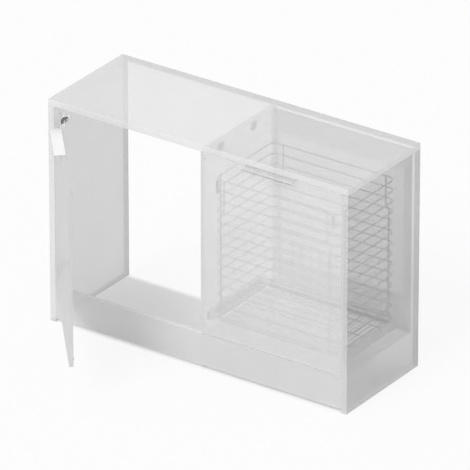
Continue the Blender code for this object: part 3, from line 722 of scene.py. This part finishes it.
def make_pull(prefix, centre_x, face_y, body, finish, lip_shade_finish, turned):
    """A bent sheet that hooks over a front's top edge, with two low screws."""
    middle = fronts_top + seat_gap + pull_sheet / 2
    lip_y = face_y - pull_reach + pull_sheet / 2
    points = [(face_y + pull_cover, middle), (lip_y, middle),
              (lip_y, fronts_top + seat_gap + pull_sheet - pull_lip)]
    low_x, high_x = centre_x - pull_length / 2, centre_x + pull_length / 2
    bm = bent_sheet(points, "X", low_x, high_x, pull_sheet, pull_bend, pull_corner)
    # The lip's faces take the darker lip finish: painted shade on the same sheet.
    for face in bm.faces:
        in_shaded_lip = face.calc_center_median().z < fronts_top - pull_sheet / 2
        face.material_index = 1 if in_shaded_lip else 0
    if turned:
        in_door(bm)
    pull = piece(f"{prefix}_edge_pull", bm, finish, body, (f"{prefix}_handle",))
    pull.data.materials.append(lip_shade_finish)
    for side, x in (("left", low_x + pull_screw_inset), ("right", high_x - pull_screw_inset)):
        bm = bmesh.new()
        add_screw(bm, (x, face_y + front_board / 2, middle + pull_sheet / 2 + seat_gap), upward,
                  pull_screw_head, pull_screw_rise)
        if turned:
            in_door(bm)
        piece(f"{prefix}_pull_screw_{side}", bm, bright_nickel, body,
              (f"{prefix}_handle_screw_{side}",))


def make_cup(name, z):
    """The round cup let into the door, with its flange and two screws."""
    bm = bmesh.new()
    back = front_board + seat_gap
    flange = bmesh.ops.create_grid(bm, x_segments=1, y_segments=1, size=1.0)["verts"]
    for vert in flange:
        vert.co = Vector((cup_centre + vert.co.x * flange_half_width, back,
                          z + vert.co.y * flange_length / 2))
    bevelled(bm, flange, flange_corner, flange_corner_segments, affect="VERTICES")
    outer = [edge for edge in bm.edges if edge.is_boundary]
    bmesh.ops.delete(bm, geom=bm.faces[:], context="FACES_ONLY")
    mouth = cup_radius - cup_wall
    place = Matrix.Translation((cup_centre, back, z)) @ facing(backwards)
    ring = bmesh.ops.create_circle(bm, cap_ends=False, segments=len(outer), radius=mouth,
                                   matrix=place)["verts"]
    ring_edges = list({edge for vert in ring for edge in vert.link_edges})
    bmesh.ops.bridge_loops(bm, edges=outer + ring_edges)
    floor_edges = drawn_out(bm, ring_edges, (0.0, -(cup_depth + seat_gap - cup_wall), 0.0))
    bmesh.ops.contextual_create(bm, geom=floor_edges)
    bmesh.ops.recalc_face_normals(bm, faces=bm.faces)
    thicken_up(bm, flange_sheet)
    for end in (-1, 1):
        add_screw(bm, (cup_centre, back + flange_sheet, z + end * flange_screw_spacing / 2),
                  backwards, cup_screw_head, cup_screw_rise)
    block_low_y = back - cup_depth + cup_block_off_floor
    block_high_y = back - cup_block_below_mouth
    for low_z, high_z in ((-cup_block_far, -cup_block_near), (cup_block_near, cup_block_far)):
        add_box(bm, (cup_centre + cup_block_low_x, block_low_y, z + low_z),
                (cup_centre + cup_block_high_x, block_high_y, z + high_z))
    in_door(bm)
    piece(f"door_cup_{name}", bm, dark_coat, "door", (f"hinge_cup_{name}",))


def thicken_up(bm, thickness):
    """Gives the cup's flange and bowl their wall, outwards from the door's back."""
    up = [face for face in bm.faces if abs(face.normal.y) > square_on]
    if sum(face.normal.y * face.calc_area() for face in up) < 0.0:
        bmesh.ops.reverse_faces(bm, faces=bm.faces[:])
    bmesh.ops.solidify(bm, geom=bm.faces[:], thickness=-thickness)
    bmesh.ops.recalc_face_normals(bm, faces=bm.faces)


def make_hinge_arm(name, z):
    """The arm with its two adjusting screws, and the mounting plate on the side panel."""
    arm_low, arm_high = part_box(f"hinge_arm_{name}")
    plate_low, plate_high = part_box(f"hinge_plate_{name}")
    half = arm_sheet / 2
    points = [(arm_low.x, arm_low.z + half), (arm_high.x - half, arm_low.z + half),
              (arm_high.x - half, arm_high.z - half), (arm_low.x, arm_high.z - half)]
    bm = bent_sheet(points, "Y", arm_low.y, arm_high.y, arm_sheet, arm_bend, arm_corner)
    shell_faces = set(bm.faces)
    for number in range(2):
        y = arm_high.y - arm_screw_inset - number * arm_screw_spacing
        add_screw(bm, (arm_high.x, y, z), sideways, arm_screw_head, arm_screw_rise)
    for face in bm.faces:
        face.material_index = 0 if face in shell_faces else 1
    # The shell takes the nickel painted dark for shade, and its screws take the bright nickel.
    shell = piece(f"hinge_arm_shell_{name}", bm, shaded_nickel, "cabinet",
                  (f"hinge_arm_{name}",))
    shell.data.materials.append(bright_nickel)

    bm = bmesh.new()
    wing_middle = plate_low.y + plate_wing_half
    add_box(bm, (plate_low.x, wing_middle - plate_wing_half, plate_low.z),
            (plate_high.x, wing_middle + plate_wing_half, plate_high.z))
    rounded(bm, plate_round, segments=2)
    body = bmesh.new()
    add_box(body, (plate_low.x, wing_middle - plate_body_ahead, z - plate_body_half),
            (plate_high.x, plate_high.y, z + plate_body_half))
    rounded(body, plate_round, segments=2)
    join(bm, body)
    piece(f"hinge_base_{name}", bm, bright_nickel, "cabinet",
          (f"hinge_plate_{name}",))

    for end in ("top", "bottom"):
        low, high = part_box(f"hinge_screw_{name}_{end}")
        bm = bmesh.new()
        middle = (low + high) / 2
        add_screw(bm, (high.x - plate_screw_rise, middle.y, middle.z), sideways, plate_screw_head,
                  plate_screw_rise)
        piece(f"hinge_plate_screw_{name}_{end}", bm, bright_nickel, "cabinet",
              (f"hinge_screw_{name}_{end}",))


# The finishes of each board's faces, its edging and its rear edge, and the way through it
boards = (
    ("top_panel", top_board, top_edging, shaded_rear_edging, upward),
    ("side_panel_left", shaded_side_board, front_edging, shaded_rear_edging, sideways),
    ("side_panel_right", shaded_side_board, front_edging, shaded_rear_edging, sideways),
    ("divider_panel", lightened_inner_board, inner_edging, inner_edging, sideways),
    ("plinth_board", shaded_plinth_board, lightened_gap_edging, lightened_gap_edging, backwards),
    ("bay_floor", lightened_inner_board, inner_edging, inner_edging, upward),
    ("back_rail_top", lightened_upper_back_board, inner_edging, inner_edging, backwards),
    ("back_rail_bottom", lightened_low_back_board, lightened_gap_edging, lightened_gap_edging, backwards),
    ("back_stile_left", lightened_inner_board, inner_edging, inner_edging, backwards),
    ("back_stile_right", lightened_inner_board, inner_edging, inner_edging, backwards),
    ("back_sheet", back_grey, back_grey, back_grey, backwards),
    ("front_rail", lightened_rail_board, lightened_rail_board, lightened_rail_board, upward),
    ("door_panel", shaded_door_board, shaded_door_edging, shaded_door_edging, through_door),
    ("drawer_front", front_face_board, lightened_gap_edging, lightened_gap_edging, backwards),
)
for board in boards:
    make_board(*board)

# Fittings by the start of their names, with their finish and the rounding of their edges
fittings = (
    ("runner_", runner_steel, 0.00015),
    ("base_rail", rail_zinc, 0.00025),
    ("base_tie", dark_coat, 0.00025),
    ("foot_bracket", runner_steel, 0.0003),
    ("hinge_link", bright_nickel, 0.0003),
    ("hinge_pin", bright_nickel, 0.0002),
    ("connector_block", grey_plastic, 0.0012),
    ("basket_clip", clip_plastic, 0.0006),
    ("door_stop_pad", pad_rubber, 0.0004),
    ("drawer_stop_pad", pad_rubber, 0.0004),
)
for start_of_name, finish, rounding in fittings:
    for node_name in sorted(frame["nodes"]):
        if node_name.startswith(start_of_name):
            make_fitting(node_name, finish, rounding)

make_basket_walls()
make_basket_floor()
drawer_low, drawer_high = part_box("drawer_handle")
make_pull("drawer", (drawer_low.x + drawer_high.x) / 2, door_hinge_line.y, "pullout",
          ghosted_aluminium, shaded_ghosted_lip, turned=False)
make_pull("door", door_pull_from_hinge, 0.0, "door", satin_aluminium, shaded_lip_aluminium, turned=True)
for hinge_name, hinge_z in hinge_heights.items():
    make_cup(hinge_name, hinge_z)
    make_hinge_arm(hinge_name, hinge_z)


def shows_as_backdrop(tree):
    """1 for what is seen straight, in metal or through glass, and 0 for what lights a surface."""
    path = tree.nodes.new("ShaderNodeLightPath")
    total = path.outputs["Is Camera Ray"]
    for name in ("Is Glossy Ray", "Is Transmission Ray"):
        total = arithmetic(tree, "ADD", total, path.outputs[name], clamped=True)
    return total


def away_from_cabinet(tree):
    """0 on the floor under the cabinet and 1 beyond it."""
    position = tree.nodes.new("ShaderNodeTexCoord").outputs["Object"]
    split = tree.nodes.new("ShaderNodeSeparateXYZ")
    tree.links.new(position, split.inputs["Vector"])
    beyond = []
    for axis, low, high in (("X", cad_low[0], cad_high[0]), ("Y", -cad_high[1], cad_high[1])):
        offset = arithmetic(tree, "SUBTRACT", split.outputs[axis], (low + high) / 2)
        distance = arithmetic(tree, "ABSOLUTE", offset, 0.0)
        half = (high - low) / 2
        beyond.append(remapped(tree, distance, half - shade_inset, half + shade_margin, 0.0, 1.0,
                               smooth=True))
    return arithmetic(tree, "MAXIMUM", *beyond)


def seen_straight(tree):
    """1 where nothing see-through lies before the floor, and 0 behind a board."""
    depth = tree.nodes.new("ShaderNodeLightPath").outputs["Transparent Depth"]
    return remapped(tree, depth, 0.0, 1.0, 1.0, 0.0)


def make_floor():
    """A pale floor that keeps a soft shadow."""
    bm = bmesh.new()
    bmesh.ops.create_grid(bm, x_segments=1, y_segments=1, size=floor_size)
    mesh = mesh_from("studio_floor", bm)
    floor = placed("studio_floor", mesh)
    material = bpy.data.materials.new("pale_floor")
    material.use_nodes = True
    tree = material.node_tree
    tree.nodes.clear()
    out = tree.nodes.new("ShaderNodeOutputMaterial")
    paint = tree.nodes.new("ShaderNodeBsdfDiffuse")
    paint.inputs["Color"].default_value = (floor_tone, floor_tone, floor_tone, 1.0)
    glow = tree.nodes.new("ShaderNodeEmission")
    glow.inputs["Color"].default_value = (1.0, 1.0, 1.0, 1.0)
    bare = arithmetic(tree, "MULTIPLY", away_from_cabinet(tree), seen_straight(tree))
    glow_share = remapped(tree, bare, 0.0, 1.0, glow_behind_boards, glow_in_the_open)
    mix = tree.nodes.new("ShaderNodeMixShader")
    tree.links.new(arithmetic(tree, "MULTIPLY", shows_as_backdrop(tree), glow_share),
                   mix.inputs["Fac"])
    tree.links.new(paint.outputs["BSDF"], mix.inputs[1])
    tree.links.new(glow.outputs["Emission"], mix.inputs[2])
    tree.links.new(mix.outputs["Shader"], out.inputs["Surface"])
    mesh.materials.append(material)


def make_light():
    """An even pale surround and one broad soft lamp from the front and above."""
    world = bpy.data.worlds.new("studio")
    bpy.context.scene.world = world
    world.use_nodes = True
    tree = world.node_tree
    background = tree.nodes["Background"]
    background.inputs["Color"].default_value = (1.0, 1.0, 1.0, 1.0)
    strength = remapped(tree, shows_as_backdrop(tree), 0.0, 1.0, surround_light, backdrop_light)
    tree.links.new(strength, background.inputs["Strength"])
    lamp = bpy.data.lights.new("soft_key", "SUN")
    lamp.energy = lamp_power
    lamp.angle = lamp_width
    key = placed("soft_key", lamp)
    key.rotation_euler = Vector(lamp_direction).to_track_quat("Z", "Y").to_euler()


def make_camera():
    """A long-lens camera to the front, to the right and above."""
    data = bpy.data.cameras.new("photo_view")
    camera = placed("photo_view", data)
    data.sensor_width = camera_sensor
    data.lens = camera_lens
    data.clip_end = camera_reach
    camera.location = camera_place
    camera.rotation_euler = (camera_tilt, 0.0, camera_azimuth)
    bpy.context.scene.camera = camera


make_floor()
make_light()
make_camera()
bpy.context.scene.view_settings.view_transform = "Standard"
